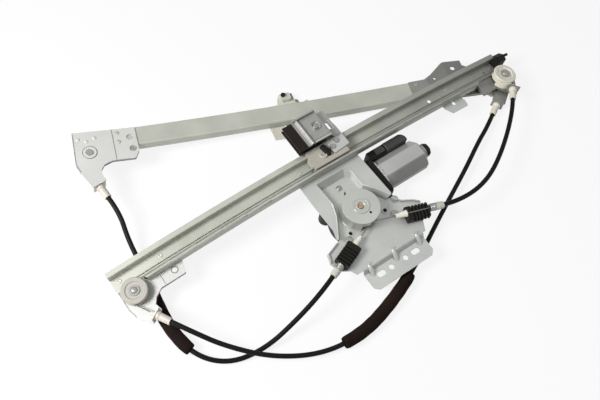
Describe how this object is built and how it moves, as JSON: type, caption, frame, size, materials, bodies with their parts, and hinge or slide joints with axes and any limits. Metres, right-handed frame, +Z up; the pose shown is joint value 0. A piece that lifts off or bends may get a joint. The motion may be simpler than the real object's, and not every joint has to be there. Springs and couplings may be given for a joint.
{
  "type": "window regulator",
  "caption": "Two bowed sheet-metal guide rails with cable-driven glass carriers, end pulleys, sheathed cables, a pressed drive plate, cable drum and gear motor.",
  "frame": {"origin": "on the cable drum's axis, in the gearbox cover's outer face, which lies on the bench", "axes": "+Z up from the bench, the way rail A's open side faces; +X along rail A towards its upper pulley; +Y across rail A towards rail B"},
  "size_m": [0.6275, 0.4054, 0.0724],
  "materials": {
    "black_plastic": "matt",
    "black_rubber": "matt",
    "bracket_steel": "bright galvanised",
    "bronze": "sintered",
    "cable_steel": "stranded",
    "cover_alloy": "satin",
    "cream_plastic": "satin",
    "foam": "open-cell foam",
    "grey_plastic": "matt",
    "motor_zinc": "plated",
    "plate_steel": "dull galvanised",
    "rivet_steel": "plain",
    "white_plastic": "waxy, slightly translucent",
    "zinc_steel": "dull galvanised"
  },
  "bodies": {
    "base": {"cable_rail_a": "cable_steel", "cable_rail_b": "cable_steel", "conduit_1": "black_plastic", "conduit_2": "black_plastic", "conduit_3": "black_plastic", "conduit_end_a_lower": "cream_plastic", "conduit_end_a_upper": "cream_plastic", "conduit_end_b_lower": "cream_plastic", "conduit_end_b_upper": "cream_plastic", "connector_latch": "grey_plastic", "connector_socket": "black_plastic", "drive_plate": "plate_steel", "drive_screws": "rivet_steel", "drum_cables": "cable_steel", "drum_cover": "cover_alloy", "electronics_housing": "grey_plastic", "foam_sleeve_lower": "foam", "foam_sleeve_upper": "foam", "gearbox_cover": "black_plastic", "gearbox_housing": "black_plastic", "motor_bearing_cap": "black_plastic", "motor_can": "motor_zinc", "outlet_guide_left": "cream_plastic", "outlet_guide_right": "cream_plastic", "outlet_retainer_left": "black_plastic", "outlet_retainer_right": "black_plastic", "outlet_sleeve_left": "white_plastic", "outlet_sleeve_right": "white_plastic", "outlet_spring_left": "rivet_steel", "outlet_spring_right": "rivet_steel", "plate_rivets": "rivet_steel", "pulley_rivets": "rivet_steel", "rail_a": "zinc_steel", "rail_a_end_stop": "black_rubber", "rail_a_lower_bracket": "bracket_steel", "rail_a_mount_tab": "zinc_steel", "rail_a_upper_bracket": "zinc_steel", "rail_b": "zinc_steel", "rail_b_lower_bracket": "bracket_steel", "rail_b_upper_bracket": "zinc_steel", "rail_rivets": "rivet_steel"},
    "drum": {"cable_drum": "black_plastic", "output_shaft": "bronze", "worm_wheel": "cream_plastic"},
    "slider_a": {"slider_a_body": "cream_plastic", "carrier_plate": "zinc_steel", "glass_pad": "black_rubber", "glass_clamp": "bracket_steel", "clamp_screw": "rivet_steel", "carrier_rivets": "rivet_steel", "slider_a_buffer": "black_rubber", "cable_nipples_a": "cable_steel"},
    "slider_b": {"slider_b_body": "white_plastic", "slider_b_jaw": "white_plastic", "slider_b_plug": "black_rubber", "cable_nipples_b": "cable_steel"},
    "pulley_a_lower_body": {"pulley_a_lower": "cream_plastic"},
    "pulley_a_upper_body": {"pulley_a_upper": "cream_plastic"},
    "pulley_b_lower_body": {"pulley_b_lower": "cream_plastic"},
    "pulley_b_upper_body": {"pulley_b_upper": "cream_plastic"}
  },
  "joints": [
    {"name": "drum_spin", "type": "hinge", "parent": "base", "child": "drum", "pos_m": [0, 0, 0.04], "axis": [0, 0, 1], "range_deg": [-429.72, 572.96]},
    {"name": "slider_a_travel", "type": "hinge", "parent": "base", "child": "slider_a", "pos_m": [0, 0.08, -2.46], "axis": [0, 1, 0], "range_deg": [-4.58, 3.44]},
    {"name": "slider_b_travel", "type": "hinge", "parent": "base", "child": "slider_b", "pos_m": [0.24583, 0.09365, 5.0156], "axis": [-0.3256, -0.9455, 0], "range_deg": [-2.29, 1.72]},
    {"name": "pulley_a_lower_spin", "type": "hinge", "parent": "base", "child": "pulley_a_lower_body", "pos_m": [-0.27743, 0.06, 0.02456], "axis": [-0.111, 0, 0.9938], "range_deg": [-641.47, 855.26]},
    {"name": "pulley_a_upper_spin", "type": "hinge", "parent": "base", "child": "pulley_a_upper_body", "pos_m": [0.30226, 0.06, 0.02166], "axis": [0.1209, 0, 0.9927], "range_deg": [-641.47, 855.26]},
    {"name": "pulley_b_lower_spin", "type": "hinge", "parent": "base", "child": "pulley_b_lower_body", "pos_m": [-0.23567, 0.24253, 0.04104], "axis": [-0.0953, 0.0328, -0.9949], "range_deg": [-855.26, 641.47]},
    {"name": "pulley_b_upper_spin", "type": "hinge", "parent": "base", "child": "pulley_b_upper_body", "pos_m": [0.29357, 0.06029, 0.01591], "axis": [0.0106, -0.0036, -0.9999], "range_deg": [-855.26, 641.47]}
  ],
  "couplings": [
    {"joint": "drum_spin", "follows": "slider_a_travel", "ratio": -125},
    {"joint": "slider_b_travel", "follows": "slider_a_travel", "ratio": 0.5},
    {"joint": "pulley_a_lower_spin", "follows": "slider_a_travel", "ratio": -186.57},
    {"joint": "pulley_a_upper_spin", "follows": "slider_a_travel", "ratio": -186.57},
    {"joint": "pulley_b_lower_spin", "follows": "slider_a_travel", "ratio": 186.57},
    {"joint": "pulley_b_upper_spin", "follows": "slider_a_travel", "ratio": 186.57}
  ]
}
